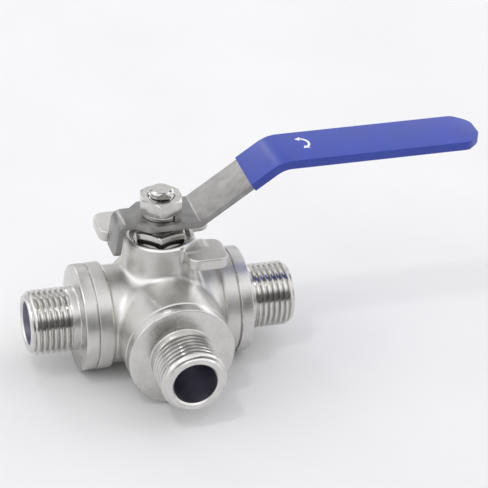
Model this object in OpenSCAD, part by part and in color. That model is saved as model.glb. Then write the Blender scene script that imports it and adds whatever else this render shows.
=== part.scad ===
// Three way ball valve with three male pipe ends and a lever.
// Millimetres, +Z up. The origin is the centre of the ball, where the run axis (X),
// the branch axis (Y) and the stem axis (Z) meet. The branch port points along -Y.
// The lever points along +X when the run is open and the branch is shut.

/* [Flow path] */
// Diameter of the ball
ball_d = 25; // [23:0.5:32]
// Diameter of the ball's run bore and branch bore
ball_bore = 12; // [8:0.5:13]
// Bore of the three port ends
port_bore = 14; // [10:0.5:15]

/* [Male ends] */
// Major diameter of the pipe thread, which the cylinder of the male end stands for
thread_od = 20.956; // [19.5:0.1:26]
// Depth of the thread, taken off at the tip
thread_depth = 1.16; // [0.6:0.05:1.4]
// Length of a male end, from the flange face to the tip
male_length = 16; // [12:0.5:30]
// Plain length between the flange and the thread
plain_length = 3; // [2:0.1:5]
// Length of the lead chamfer at the tip
lead_length = 1.8; // [1:0.1:2.5]

/* [Caps and seats] */
// Thickness of a cap's flange
flange_t = 4.33; // [3:0.1:8]
// Length of the thread that holds a cap in the body
cap_engagement = 7.37; // [5:0.1:14]
// Extra distance of the branch face from the centre
branch_extra = 2.37; // [0:0.1:8]
// Thickness of a cap gasket
gasket_t = 1.2; // [0.8:0.1:2]
// Depth of the pocket that holds a seat
seat_pocket = 2.1; // [1.5:0.1:3]

/* [Body] */
// Wall of the run barrel
barrel_wall = 2.85; // [2.5:0.05:6]
// Wall outside a cap's thread
ring_wall = 2.9; // [2:0.1:6]
// Width of the ring at each body face
ring_w = 4.87; // [3:0.1:7]
// Wall behind the rear seat
rear_wall = 3; // [2:0.1:6]
// Wall of the neck around the packing nut
neck_wall = 1.3; // [1:0.1:4]

/* [Stop ears] */
// Distance from the stem axis to an ear's outer end, along X
ear_x = 18; // [17:0.5:21]
// Distance from the stem axis to an ear's outer end, along Y
ear_y = 18.2; // [17:0.1:22]
// Thickness of an ear
ear_t = 3.75; // [2.5:0.1:5]
// Corner radius of an ear
ear_round = 4; // [1:0.1:5]
// Drop from the neck's rim to the top of an ear
ear_drop = 0.6; // [0:0.1:2]

/* [Stem and packing] */
// Diameter of the stem in the packing
stem_d = 10; // [9:0.5:13]
// Diameter of the stem's threaded top
stem_top_d = 8; // [6:0.5:8.5]
// Distance across the two flats of the stem's top
stem_flats = 6.6; // [5:0.1:7.5]
// Thickness of the stem's foot
foot_t = 2.5; // [2:0.1:4]
// Width of the tang that turns the ball
tang_w = 5.8; // [4:0.1:7]
// Radial width of the packing
packing_w = 2.6; // [2:0.1:4]
// Height of one packing ring at its edge
packing_h = 1.2; // [1:0.1:2.5]
// Height of the gland
gland_h = 2.4; // [2:0.1:4]

/* [Nuts] */
// Packing nut, across flats
packing_nut_af = 15; // [14:0.5:20]
// Packing nut, height
packing_nut_h = 4.5; // [3:0.1:7]
// Lever nut, across flats
lever_nut_af = 13; // [12:0.5:16]
// Lever nut, height
lever_nut_h = 5; // [4:0.1:8]
// Thickness of the split lock washer
lock_washer_t = 1.6; // [1:0.1:2.5]

/* [Lever] */
// Thickness of the lever plate
plate_t = 2; // [1.5:0.1:4]
// Width of the lever plate
plate_w = 17; // [16:0.5:24]
// Distance from the stem axis to the tip of the lever plate
lever_reach = 103.8; // [80:0.1:150]
// Height of the grip above the lever's base
grip_rise = 18.3; // [10:0.1:26]
// Slope of the plate between its base and its grip, degrees
slope = 35; // [25:0.5:50]
// Distance from the stem axis to the start of the slope
slope_x = 10.8; // [10:0.1:16]
// Gap between the packing nut and the lever
lever_gap = 2.4; // [0.5:0.1:6]
// Width of the stop leg
leg_w = 10.4; // [8:0.1:11]
// Distance from the stem axis to the inner face of the stop leg at its bend
leg_x = 12.6; // [12.6:0.1:16]
// Depth of the stop leg's end below the top of the lever's base
leg_drop = 11.9; // [10:0.1:13]
// Outward lean of the stop leg, degrees
leg_lean = 8; // [0:0.5:10]
// Wall of the vinyl sleeve
sleeve_wall = 0.5; // [0.4:0.1:2.5]
// Distance from the stem axis to the sleeve's mouth
sleeve_x = 27.4; // [22:0.1:32]

/* [Hidden] */
$fn = 96;

// Clearances
run_gap = 0.05;          // a turning stem in its bores
fit_gap = 0.05;          // pieces that are assembled and stay put
seat_gap = 0.1;          // the ball against a seat
cavity_gap = 0.4;        // the ball in the body's cavity
slot_gap = 0.1;          // each side of the tang in the ball's slot
stop_gap = 0.1;          // the stop leg against an ear
nut_room = 0.94;         // the packing nut's corners in the neck
edge = 0.4;              // broken edges of turned pieces
joint_w = 0.3;           // the narrow groove between a flange and the body's face
joint_depth = 0.8;

// Radii and stations along each port, from the ball's centre
ball_r = ball_d / 2;
cavity_r = ball_r + cavity_gap;
nose_r = cavity_r - 0.1;
nose_start = nose_r + 0.3;
seat_back = nose_start + seat_pocket;
seat_r = nose_r - 1.8;
seat_bore_r = ball_bore / 2 + 0.4;
seat_face_r = ball_r + seat_gap;
lip_r = seat_face_r / sqrt(2) - 0.3;
cap_thread_r = cavity_r + 1.3;
body_step = cap_thread_r + 0.3;
ring_face = body_step + gasket_t + cap_engagement;
ring_r = cap_thread_r + ring_wall;
barrel_r = cavity_r + barrel_wall;
rear_r = seat_r + rear_wall;
thread_r = thread_od / 2;

// Heights along the stem
slot_floor = ball_r - 3.7;
foot_z = ball_r + 0.4;
foot_r = stem_d / 2 + 1.3;
washer_z = foot_z + foot_t;
washer_t = 1.2;
web_z = washer_z + washer_t;
packing_z = web_z + 1.8;
packing_peak = 0.6;
gland_z = packing_z + 3 * packing_h;
gland_top = gland_z + gland_h;
gland_flange_t = 1;
spring_t = 0.6;
spring_rise = 0.35;
packing_nut_z = gland_top + 2 * (spring_t + spring_rise);
neck_floor = gland_top - gland_flange_t - 0.2;
lever_z = packing_nut_z + packing_nut_h + lever_gap;
plate_top = lever_z + plate_t;
lever_nut_z = plate_top + lock_washer_t;
stem_top = lever_nut_z + lever_nut_h + 2.3;
neck_top = packing_nut_z + 1.3;
stem_r = stem_d / 2;
packing_r = stem_r + packing_w;
packing_nut_r = packing_nut_af / sqrt(3);
gland_r = packing_r + 1;
recess_r = max(packing_nut_r + nut_room, gland_r + 0.3);
neck_r = recess_r + neck_wall;
spring_r = packing_nut_af / 2 + 0.9;
ear_in = leg_w / 2 + stop_gap;
ear_top = neck_top - ear_drop;
ear_web = 1.8;
gusset_step = 0.9;
gusset_inset = 7.5;
gusset_round = 2;

steel = [0.78, 0.77, 0.75];
bright_steel = [0.85, 0.85, 0.85];
ptfe = [0.93, 0.92, 0.88];
vinyl = [0.2, 0.27, 0.72];

// ---- shared shapes ----

// Turns a profile of [radius, distance] points about X, distance running along +X
module turned_x(points) {
  rotate([0, 90, 0]) rotate_extrude() polygon(points);
}

module ring_z(inner, outer, z, h) {
  translate([0, 0, z]) difference() {
    cylinder(r = outer, h = h);
    translate([0, 0, -1]) cylinder(r = inner, h = h + 2);
  }
}

// Children drawn for the right-hand port, turned to face the named port
module at_left() { rotate([0, 0, 180]) children(); }
module at_front() { rotate([0, 0, -90]) children(); }
module at_rear() { rotate([0, 0, 90]) children(); }

// Rectangle with round corners, from a low corner to a high corner
module round_rect(low, high, r) {
  translate([low.x + r, low.y]) square([high.x - low.x - 2 * r, high.y - low.y]);
  translate([low.x, low.y + r]) square([high.x - low.x, high.y - low.y - 2 * r]);
  for (x = [low.x + r, high.x - r], y = [low.y + r, high.y - r])
    translate([x, y]) circle(r = r, $fn = 48);
}

// Hexagon nut on the stem, its corners eased at the top and bottom
module hex_nut(af, z, h, bore_r, turn) {
  corner_r = af / sqrt(3);
  ease = corner_r - af / 2;
  translate([0, 0, z]) difference() {
    intersection() {
      rotate([0, 0, turn]) cylinder(r = corner_r, h = h, $fn = 6);
      rotate_extrude() polygon([
        [0, 0], [corner_r - ease, 0], [corner_r, ease * 0.6],
        [corner_r, h - ease * 0.6], [corner_r - ease, h], [0, h]
      ]);
    }
    translate([0, 0, -1]) cylinder(r = bore_r, h = h + 2);
  }
}

// ---- body ----

// Outline of one ear in its own quarter: a pad and the web that joins it to the neck
module ear_outline() {
  round_rect([ear_in, ear_in], [ear_x, ear_y], ear_round);
  polygon([[0, 0], [neck_r, 0], [neck_r + ear_web, ear_in + 0.1], [neck_r, neck_r],
           [ear_in, neck_r + ear_web], [ear_in, 0]]);
}

module ear() {
  under = ear_top - ear_t;
  translate([0, 0, under]) linear_extrude(ear_t) ear_outline();
  // Gusset from the pad down to the barrels
  translate([0, 0, cavity_r]) linear_extrude(under - cavity_r + 1)
    round_rect([ear_in + gusset_step, ear_in + gusset_step], [ear_x - gusset_inset, ear_y - gusset_inset],
               gusset_round);
}

// Ring at a body face, with broken edges
module body_ring(face) {
  turned_x([[0, face - ring_w], [ring_r - edge, face - ring_w], [ring_r, face - ring_w + edge],
            [ring_r, face - edge], [ring_r - edge, face], [0, face]]);
}

module body() {
  branch_face = ring_face + branch_extra;
  rear_end = seat_back + rear_wall;
  rear_round = 3;
  color(steel) difference() {
    union() {
      rotate([0, 90, 0]) cylinder(r = barrel_r, h = 2 * (ring_face - 1), center = true);
      body_ring(ring_face);
      at_left() body_ring(ring_face);
      // Branch barrel, as wide as its ring
      at_front() turned_x([[0, 0], [ring_r, 0], [ring_r, branch_face - edge],
                           [ring_r - edge, branch_face], [0, branch_face]]);
      // Rounded boss behind the rear seat
      at_rear() turned_x(concat(
        [[0, 0], [rear_r, 0]],
        [for (a = [0:10:90]) [rear_r - rear_round + rear_round * cos(a),
                              rear_end - rear_round + rear_round * sin(a)]],
        [[0, rear_end]]));
      cylinder(r = neck_r, h = neck_top);
      ear();
      mirror([1, 0, 0]) ear();
      mirror([0, 1, 0]) ear();
    }
    // Cavity, and the bores that take the caps
    rotate([0, 90, 0]) cylinder(r = cavity_r, h = 2 * body_step + 2, center = true);
    at_front() rotate([0, 90, 0]) cylinder(r = cavity_r, h = body_step + 2);
    for (turn = [0, 180])
      rotate([0, 0, turn]) translate([body_step, 0, 0]) rotate([0, 90, 0])
        cylinder(r = cap_thread_r, h = ring_face);
    at_front() translate([body_step, 0, 0]) rotate([0, 90, 0])
      cylinder(r = cap_thread_r, h = branch_face);
    at_rear() rotate([0, 90, 0]) cylinder(r = seat_r + fit_gap, h = seat_back);
    // Stem, thrust washer, packing and packing nut
    cylinder(r = foot_r + 0.35, h = web_z);
    cylinder(r = stem_r + run_gap, h = neck_top);
    translate([0, 0, packing_z]) cylinder(r = packing_r, h = neck_top);
    translate([0, 0, neck_floor]) cylinder(r = recess_r, h = neck_top);
  }
}

// ---- caps, gaskets and seats, drawn for the right-hand port ----

// Profile of the male end from the flange face to the tip: a plain shank, the thread at its
// major diameter, and the lead chamfer
function male_profile(face) =
  let (tip = face + male_length,
       start = face + plain_length,
       shank_step = 0.35,
       tip_edge = 0.3,
       root_r = thread_r - thread_depth)
  [[thread_r - shank_step, face], [thread_r - shank_step, start - shank_step], [thread_r, start],
   [thread_r, tip - lead_length], [root_r, tip - tip_edge], [root_r - tip_edge, tip], [0, tip]];

module end_cap(extra) {
  face = ring_face + extra;
  outer = face + flange_t;
  color(bright_steel) difference() {
    turned_x(concat(
      [[0, nose_start], [nose_r, nose_start], [nose_r, body_step + gasket_t],
       [cap_thread_r - fit_gap, body_step + gasket_t], [cap_thread_r - fit_gap, face],
       [ring_r - joint_depth, face], [ring_r - joint_depth, face + joint_w], [ring_r, face + joint_w],
       [ring_r, outer - edge], [ring_r - edge, outer]],
      male_profile(outer)));
    // Seat pocket and the port's bore
    rotate([0, 90, 0]) cylinder(r = seat_r + fit_gap, h = seat_back);
    rotate([0, 90, 0]) cylinder(d = port_bore, h = outer + male_length + 1);
  }
}

module left_end_cap() { at_left() end_cap(0); }
module right_end_cap() { end_cap(0); }
module front_end_cap() { at_front() end_cap(branch_extra); }

module cap_gasket() {
  color(ptfe) turned_x([[nose_r + fit_gap, body_step], [cap_thread_r - fit_gap, body_step],
                        [cap_thread_r - fit_gap, body_step + gasket_t],
                        [nose_r + fit_gap, body_step + gasket_t]]);
}

module left_cap_gasket() { at_left() cap_gasket(); }
module right_cap_gasket() { cap_gasket(); }
module front_cap_gasket() { at_front() cap_gasket(); }

// Seat ring: a spherical lip against the ball, a flat back in its pocket
module seat() {
  lip_x = sqrt(pow(seat_face_r, 2) - pow(lip_r, 2));
  color(ptfe) difference() {
    turned_x([[0, lip_x - 0.5], [lip_r - 0.5, lip_x - 0.5],
              [seat_r, lip_x + seat_r - lip_r], [seat_r, seat_back], [0, seat_back]]);
    rotate([0, 90, 0]) cylinder(r = seat_bore_r, h = seat_back + 1);
    sphere(r = seat_face_r);
  }
}

module left_seat() { at_left() seat(); }
module right_seat() { seat(); }
module front_seat() { at_front() seat(); }
module rear_seat() { at_rear() seat(); }

// ---- ball and stem ----

tang_l = 2 * foot_r;

module ball() {
  color(bright_steel) difference() {
    sphere(r = ball_r);
    rotate([0, 90, 0]) cylinder(d = ball_bore, h = ball_d + 2, center = true);
    at_rear() rotate([0, 90, 0]) cylinder(d = ball_bore, h = ball_d);
    translate([-tang_l / 2 - slot_gap, -tang_w / 2 - slot_gap, slot_floor])
      cube([tang_l + 2 * slot_gap, tang_w + 2 * slot_gap, ball_r]);
  }
}

module stem() {
  top_r = stem_top_d / 2;
  color(bright_steel) {
    // Tang, foot and packing length
    intersection() {
      translate([-tang_l / 2, -tang_w / 2, slot_floor + 0.3])
        cube([tang_l, tang_w, foot_z - slot_floor]);
      cylinder(r = foot_r, h = stem_top);
    }
    translate([0, 0, foot_z]) cylinder(r = foot_r, h = foot_t);
    translate([0, 0, foot_z]) cylinder(r = stem_r, h = lever_z - foot_z);
    // Threaded top with two flats that carry the lever
    intersection() {
      rotate_extrude() polygon([[0, lever_z - 0.5], [top_r, lever_z - 0.5],
                                [top_r, stem_top - 0.8], [top_r - 0.8, stem_top], [0, stem_top]]);
      translate([-stem_d, -stem_flats / 2, lever_z - 0.5])
        cube([2 * stem_d, stem_flats, stem_top]);
    }
  }
}

// ---- packing ----

module thrust_washer() {
  color(ptfe) ring_z(stem_r + run_gap, foot_r, washer_z, washer_t);
}

// One ring of the packing: below and above give how far each face peaks at mid width
module packing_ring(z, below, above) {
  inner = stem_r + run_gap;
  outer = packing_r;
  middle = (inner + outer) / 2;
  color(ptfe) rotate_extrude() polygon([
    [inner, z], [middle, z + below], [outer, z],
    [outer, z + packing_h], [middle, z + packing_h + above], [inner, z + packing_h]
  ]);
}

module packing_bottom_ring() { packing_ring(packing_z, 0, packing_peak); }
module packing_middle_ring() { packing_ring(packing_z + packing_h, packing_peak, packing_peak); }
module packing_top_ring() { packing_ring(packing_z + 2 * packing_h, packing_peak, 0); }

module packing_gland() {
  color(bright_steel) {
    ring_z(stem_r + run_gap, packing_r - fit_gap, gland_z, gland_h);
    ring_z(stem_r + run_gap, gland_r, gland_top - gland_flange_t, gland_flange_t);
  }
}

// Conical spring washer: the inner edge stands above the outer edge by rise
module disc_spring(z, rise) {
  inner = stem_r + run_gap;
  low = z + max(0, -rise);
  color(bright_steel) rotate_extrude() polygon([
    [inner, low + rise], [spring_r, low], [spring_r, low + spring_t], [inner, low + rise + spring_t]
  ]);
}

module lower_disc_spring() { disc_spring(gland_top, spring_rise); }
module upper_disc_spring() { disc_spring(gland_top + spring_t + spring_rise, -spring_rise); }

module packing_nut() {
  color(bright_steel)
    hex_nut(packing_nut_af, packing_nut_z, packing_nut_h, stem_r + fit_gap, 18);
}

// ---- lever ----

function unit(v) = v / norm(v);
function side_of(v) = [-v.y, v.x];

// Offset of the rounded corner b between a and c, bend radius r on the middle line
function bend(a, b, c, r, off) =
  let (u = unit(a - b), w = unit(c - b), half = acos(u * w) / 2,
       centre = b + unit(u + w) * r / sin(half),
       s = sign(cross(b - a, c - b)),
       n = -s * side_of(unit(b - a)),
       start = atan2(n.y, n.x),
       steps = 6)
  [for (i = [0:steps]) let (angle = start + s * (180 - 2 * half) * i / steps)
    centre + (r - s * off) * [cos(angle), sin(angle)]];

// One side of a bent strip, off to the left of its middle line
function strip_side(p, radii, off) =
  let (last = len(p) - 1)
  concat(
    [p[0] + side_of(unit(p[1] - p[0])) * off],
    [for (i = [1:last - 1], q = bend(p[i - 1], p[i], p[i + 1], radii[i - 1], off)) q],
    [p[last] + side_of(unit(p[last] - p[last - 1])) * off]);

// Bent strip of thickness t in the XZ plane, as wide as w
module bent_strip(p, radii, t, w) {
  left = strip_side(p, radii, t / 2);
  right = strip_side(p, radii, -t / 2);
  rotate([90, 0, 0]) linear_extrude(w, center = true)
    polygon(concat(left, [for (i = [len(right) - 1:-1:0]) right[i]]));
}

base_mid = lever_z + plate_t / 2;
grip_mid = base_mid + grip_rise;
slope_start = [slope_x, base_mid];
slope_end = [slope_x + grip_rise / tan(slope), grip_mid];
shoulder_x = 5.7;
tip_taper = 6;
tip_cut = 4.6;
tip_round = 1.8;
leg_bend_r = 2.2;
slope_bend_r = 3;
grip_bend_r = 10;

// Plan of the plate: tongue at the left, chamfered shoulders, tapered tip
module plate_plan(grow, tip) {
  half = plate_w / 2 + grow;
  tongue = leg_w / 2;
  tongue_x = -leg_x - leg_drop;
  upper = [[tip, half - tip_cut - tip_round], [tip - tip_round / 2, half - tip_cut],
           [tip - tip_taper, half], [-shoulder_x, half],
           [-shoulder_x - (half - tongue), tongue], [tongue_x, tongue]];
  linear_extrude(2 * grip_mid)
    polygon(concat(upper, [for (i = [len(upper) - 1:-1:0]) [upper[i].x, -upper[i].y]]));
}

module lever_plate() {
  leg_top = [-leg_x - plate_t / 2, base_mid];
  leg_end = leg_top + (leg_drop - plate_t / 2) * [-tan(leg_lean), -1];
  intersection() {
    bent_strip([leg_end, leg_top, slope_start, slope_end, [lever_reach + 1, grip_mid]],
               [leg_bend_r, slope_bend_r, grip_bend_r], plate_t, 2 * plate_w);
    plate_plan(0, lever_reach);
  }
}

module lever() {
  color(steel) difference() {
    lever_plate();
    // Double-D hole for the stem
    translate([0, 0, lever_z - 1]) linear_extrude(plate_t + 2) intersection() {
      circle(d = stem_top_d + 2 * fit_gap);
      square([2 * stem_d, stem_flats + 2 * fit_gap], center = true);
    }
  }
}

module lever_sleeve() {
  mouth = slope_start + (slope_end - slope_start) * (sleeve_x - slope_x) / (slope_end.x - slope_x);
  color(vinyl) difference() {
    intersection() {
      bent_strip([mouth, slope_end, [lever_reach + 2 * sleeve_wall, grip_mid]], [grip_bend_r],
                 plate_t + 2 * sleeve_wall, 2 * plate_w);
      plate_plan(sleeve_wall, lever_reach + sleeve_wall);
    }
    lever_plate();
  }
}

module lock_washer() {
  inner = stem_top_d / 2 + 0.1;
  color(bright_steel) difference() {
    ring_z(inner, inner + 2.3, plate_top, lock_washer_t);
    // Slanted split
    rotate([0, 0, -60]) translate([inner + 1, 0, plate_top + lock_washer_t / 2])
      rotate([30, 0, 0]) cube([6, 0.5, 4 * lock_washer_t], center = true);
  }
}

module lever_nut() {
  color(bright_steel)
    hex_nut(lever_nut_af, lever_nut_z, lever_nut_h, stem_top_d / 2 + fit_gap, 16);
}

body();
left_end_cap();
right_end_cap();
front_end_cap();
left_cap_gasket();
right_cap_gasket();
front_cap_gasket();
left_seat();
right_seat();
front_seat();
rear_seat();
ball();
stem();
thrust_washer();
packing_bottom_ring();
packing_middle_ring();
packing_top_ring();
packing_gland();
lower_disc_spring();
upper_disc_spring();
packing_nut();
lever();
lever_sleeve();
lock_washer();
lever_nut();
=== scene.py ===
# %% [markdown]
# # A three way ball valve, modelled as a foundry and a machine shop would make it
#
# The valve is an investment casting with three screwed-in end caps, each with a male pipe
# thread. A flat lever with a dipped vinyl sleeve turns the ball through a stem.
# The fixed frame below holds every part at its real size; this file adds the looks.

# %% Load the fixed frame
import math

import bmesh
import bpy
import numpy as np
from mathutils import Matrix, Vector


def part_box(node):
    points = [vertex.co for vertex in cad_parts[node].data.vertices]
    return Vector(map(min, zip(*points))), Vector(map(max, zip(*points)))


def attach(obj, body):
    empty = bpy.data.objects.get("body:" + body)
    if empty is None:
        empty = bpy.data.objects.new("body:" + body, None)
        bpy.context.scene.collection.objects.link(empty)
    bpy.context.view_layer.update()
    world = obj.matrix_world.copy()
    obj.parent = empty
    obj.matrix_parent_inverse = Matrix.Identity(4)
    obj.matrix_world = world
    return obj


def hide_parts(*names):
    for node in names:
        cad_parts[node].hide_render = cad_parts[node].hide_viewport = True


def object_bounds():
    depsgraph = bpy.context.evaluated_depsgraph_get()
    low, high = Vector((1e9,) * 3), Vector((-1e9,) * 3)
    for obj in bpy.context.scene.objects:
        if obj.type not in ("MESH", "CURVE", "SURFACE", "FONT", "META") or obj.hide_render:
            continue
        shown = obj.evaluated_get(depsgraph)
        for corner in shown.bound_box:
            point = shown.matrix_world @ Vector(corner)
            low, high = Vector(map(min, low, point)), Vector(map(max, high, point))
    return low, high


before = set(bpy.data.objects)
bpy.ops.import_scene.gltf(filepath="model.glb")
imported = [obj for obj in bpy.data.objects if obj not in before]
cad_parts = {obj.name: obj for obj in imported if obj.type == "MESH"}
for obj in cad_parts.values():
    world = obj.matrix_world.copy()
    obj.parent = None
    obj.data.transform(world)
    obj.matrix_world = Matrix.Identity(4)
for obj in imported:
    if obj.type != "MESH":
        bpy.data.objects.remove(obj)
cad_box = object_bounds()
bpy.ops.object.select_all(action="DESELECT")

# %% [markdown]
# ## Sizes
#
# Blender works in metres here, so one millimetre gets a name. Whatever the frame can tell, such
# as where a cap ends or how high the neck stands, is read from the box of its part. The few
# sizes that a box can't tell, such as a bore, are named once, beside what they belong to. The
# run lies along X, the branch points along -Y and the stem stands along Z.

# %% Sizes read from the frame
MM = 0.001
FOOT_T = 2.5


def span(node, axis):
    """Lowest and highest place of a part along an axis, in millimetres."""
    low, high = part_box(node)
    return low[axis] / MM, high[axis] / MM


X, Y, Z = 0, 1, 2
RUN, BRANCH, STEM = (1, 0, 0), (0, -1, 0), (0, 0, 1)
ring_face = span("body", X)[1]
branch_face = -span("body", Y)[0]
rear_end = span("body", Y)[1]
ring_r = -span("body", Z)[0]
neck_top = span("body", Z)[1]
ball_r = -span("ball", Z)[0]
seat_back = span("right_seat", X)[1]
seat_r = span("right_seat", Z)[1]
gasket_start, gasket_end = span("right_cap_gasket", X)
cap_start, run_tip = span("right_end_cap", X)
branch_tip = -span("front_end_cap", Y)[0]
nut_low, nut_high = span("packing_nut", Z)
gland_top = span("packing_gland", Z)[1]
washer_low, washer_high = span("lock_washer", Z)
washer_r = span("lock_washer", Y)[1]
top_nut_low, top_nut_high = span("lever_nut", Z)
stem_low, stem_top = span("stem", Z)
foot_low = span("thrust_washer", Z)[0] - FOOT_T
foot_r = span("stem", X)[1]
web_z = span("thrust_washer", Z)[1]
packing_z = span("packing_bottom_ring", Z)[0]
packing_r = span("packing_bottom_ring", X)[1]
print(f"run {2 * run_tip:.1f} mm tip to tip, branch tip at {branch_tip:.1f} mm")

# %% [markdown]
# ## Small tools
#
# The same few moves come back in every step: finish a mesh with a modifier and apply it, join
# pieces, cut one solid with another. Each gets a short function.

# %% Tools for objects and modifiers
def only(piece):
    """Makes one object the selected and active one."""
    bpy.ops.object.select_all(action="DESELECT")
    piece.select_set(True)
    bpy.context.view_layer.objects.active = piece


def edit_all():
    """Goes into edit mode with the whole mesh selected."""
    bpy.ops.object.mode_set(mode="EDIT")
    bpy.ops.mesh.select_all(action="SELECT")


def join(*pieces):
    """Joins pieces into the first of them."""
    only(pieces[0])
    for piece in pieces[1:]:
        piece.select_set(True)
    bpy.ops.object.join()


def named(name):
    """The object just added, under a new name."""
    piece = bpy.context.object
    piece.name = name
    piece.data.name = name
    return piece


def finish_with(piece, kind, **settings):
    """Adds a modifier, sets it and applies it."""
    only(piece)
    modifier = piece.modifiers.new(kind.lower(), kind)
    for key, value in settings.items():
        setattr(modifier, key, value)
    bpy.ops.object.modifier_apply(modifier=modifier.name)


def combine(piece, tool, operation="DIFFERENCE"):
    """Cuts, adds or keeps a solid by another one, which is then thrown away."""
    finish_with(piece, "BOOLEAN", object=tool, operation=operation, solver="EXACT")
    bpy.data.objects.remove(tool)


def settle(piece, smooth_angle=30):
    """Places the mesh for good: object at the origin, doubles merged, normals out, smooth."""
    only(piece)
    bpy.ops.object.transform_apply()
    edit_all()
    bpy.ops.mesh.remove_doubles(threshold=MM / 1000)
    bpy.ops.mesh.normals_make_consistent(inside=False)
    bpy.ops.object.mode_set(mode="OBJECT")
    bpy.ops.object.shade_smooth_by_angle(angle=math.radians(smooth_angle))
    print(f"{piece.name}: {len(piece.data.polygons)} faces")
    return piece


def soften(piece, width, segments=3, angle=35):
    """Breaks every edge sharper than angle degrees with a small round."""
    finish_with(piece, "BEVEL", width=width * MM, segments=segments, limit_method="ANGLE",
                angle_limit=math.radians(angle), harden_normals=False)


# %% [markdown]
# ## Turned pieces
#
# A lathe makes most of a valve. In Blender that is a line of points, drawn by extruding one
# vertex from place to place, and then spun once round an axis. Caps, bores, the stem and the
# cutters for the casting all start this way.

# %% Draw a line and spin it
def line_through(name, places):
    """A line drawn by extruding one vertex from place to place."""
    bpy.ops.mesh.primitive_plane_add(size=MM, location=places[0])
    bpy.ops.object.transform_apply(location=True)
    line = named(name)
    edit_all()
    bpy.ops.mesh.merge(type="CENTER")
    for here, there in zip(places, places[1:]):
        bpy.ops.mesh.extrude_region_move(TRANSFORM_OT_translate={"value": there - here})
    bpy.ops.object.mode_set(mode="OBJECT")
    return line


def draw_line(name, points, axis):
    """A line of [radius, distance] points, distance running along axis, radius upwards or to +X."""
    along = Vector(axis)
    out = Vector((0, 0, 1)) if abs(along.z) < 0.5 else Vector((1, 0, 0))
    return line_through(name, [(out * radius + along * distance) * MM for radius, distance in points])


def turned(name, points, axis=STEM, steps=128):
    """The line of draw_line spun once about its axis."""
    piece = draw_line(name, points, axis)
    edit_all()
    bpy.ops.mesh.spin(steps=steps, angle=2 * math.pi, center=(0, 0, 0), axis=axis)
    bpy.ops.mesh.select_all(action="SELECT")
    bpy.ops.mesh.remove_doubles(threshold=MM / 1000)
    bpy.ops.mesh.normals_make_consistent(inside=False)
    bpy.ops.object.mode_set(mode="OBJECT")
    return piece


def arc(centre, radius, start, end, steps=6):
    """Points of [radius, distance] along an arc, angles in degrees."""
    turn = [math.radians(start + (end - start) * i / steps) for i in range(steps + 1)]
    return [(centre[0] + radius * math.cos(a), centre[1] + radius * math.sin(a)) for a in turn]


# %% [markdown]
# ## Materials: what the shop's finishes have in common
#
# Every steel surface is one shader with a metallic of 1. What tells them apart is roughness,
# grain and direction: blasting leaves fine even pits, turning leaves rings that stretch the
# highlight, tumbling leaves a soft mottle. Each material is a small graph of noise on the
# piece's own coordinates, so the grain stays put when the valve moves.

# %% Material graph helpers
class Graph:
    """A material under construction."""

    def __init__(self, name):
        self.material = bpy.data.materials.new(name)
        self.material.use_nodes = True
        self.tree = self.material.node_tree
        self.shader = self.tree.nodes["Principled BSDF"]
        self.place = self.add("ShaderNodeTexCoord").outputs["Object"]

    def add(self, kind, **settings):
        node = self.tree.nodes.new(kind)
        for key, value in settings.items():
            setattr(node, key, value)
        return node

    def link(self, output, socket):
        self.tree.links.new(output, socket)

    def noise(self, size, detail=3.0, stretch=(1, 1, 1)):
        """Noise whose grains are about size millimetres, stretched along an axis."""
        mapping = self.add("ShaderNodeMapping")
        mapping.inputs["Scale"].default_value = stretch
        self.link(self.place, mapping.inputs["Vector"])
        node = self.add("ShaderNodeTexNoise")
        node.inputs["Scale"].default_value = 1 / (size * MM)
        node.inputs["Detail"].default_value = detail
        self.link(mapping.outputs["Vector"], node.inputs["Vector"])
        return node.outputs["Fac"]

    def rings(self, axis, size):
        """Fine rings round an axis, a groove every size millimetres."""
        node = self.add("ShaderNodeTexWave", wave_type="RINGS", rings_direction=axis)
        node.inputs["Scale"].default_value = 1 / (size * MM) / 20
        node.inputs["Distortion"].default_value = 0.4
        node.inputs["Detail"].default_value = 2
        self.link(self.place, node.inputs["Vector"])
        return node.outputs["Fac"]

    def span(self, value, low, high, bottom=0.3, top=0.7):
        """A value carried from its own range to the range low to high."""
        node = self.add("ShaderNodeMapRange")
        for key, number in (("From Min", bottom), ("From Max", top), ("To Min", low), ("To Max", high)):
            node.inputs[key].default_value = number
        self.link(value, node.inputs["Value"])
        return node.outputs["Result"]

    def colours(self, value, dark, light, bottom=0.3, top=0.7):
        """A value turned into a colour between dark and light."""
        node = self.add("ShaderNodeValToRGB")
        for stop, place, colour in zip(node.color_ramp.elements, (bottom, top), (dark, light)):
            stop.position = place
            stop.color = (*colour, 1)
        self.link(value, node.inputs["Fac"])
        self.link(node.outputs["Color"], self.shader.inputs["Base Color"])

    def rough(self, value):
        self.link(value, self.shader.inputs["Roughness"])

    def bump(self, value, height, after=None):
        """Relief of a given height in millimetres, laid over an earlier one."""
        node = self.add("ShaderNodeBump")
        node.inputs["Strength"].default_value = 1
        node.inputs["Distance"].default_value = height * MM
        self.link(value, node.inputs["Height"])
        if after is not None:
            self.link(after, node.inputs["Normal"])
        return node.outputs["Normal"]

    def finish(self, normal=None, **sockets):
        """Sets the shader's constant sockets and gives the material back."""
        if normal is not None:
            self.link(normal, self.shader.inputs["Normal"])
        for key, value in sockets.items():
            self.shader.inputs[key.replace("_", " ")].default_value = value
        return self.material


# %% [markdown]
# ### Blasted casting
#
# The body is cast from stainless steel and blasted with fine beads. Close up it is a field of
# tiny dents; from an arm's length it is an even satin with faint clouds where the blast lingered.

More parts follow.
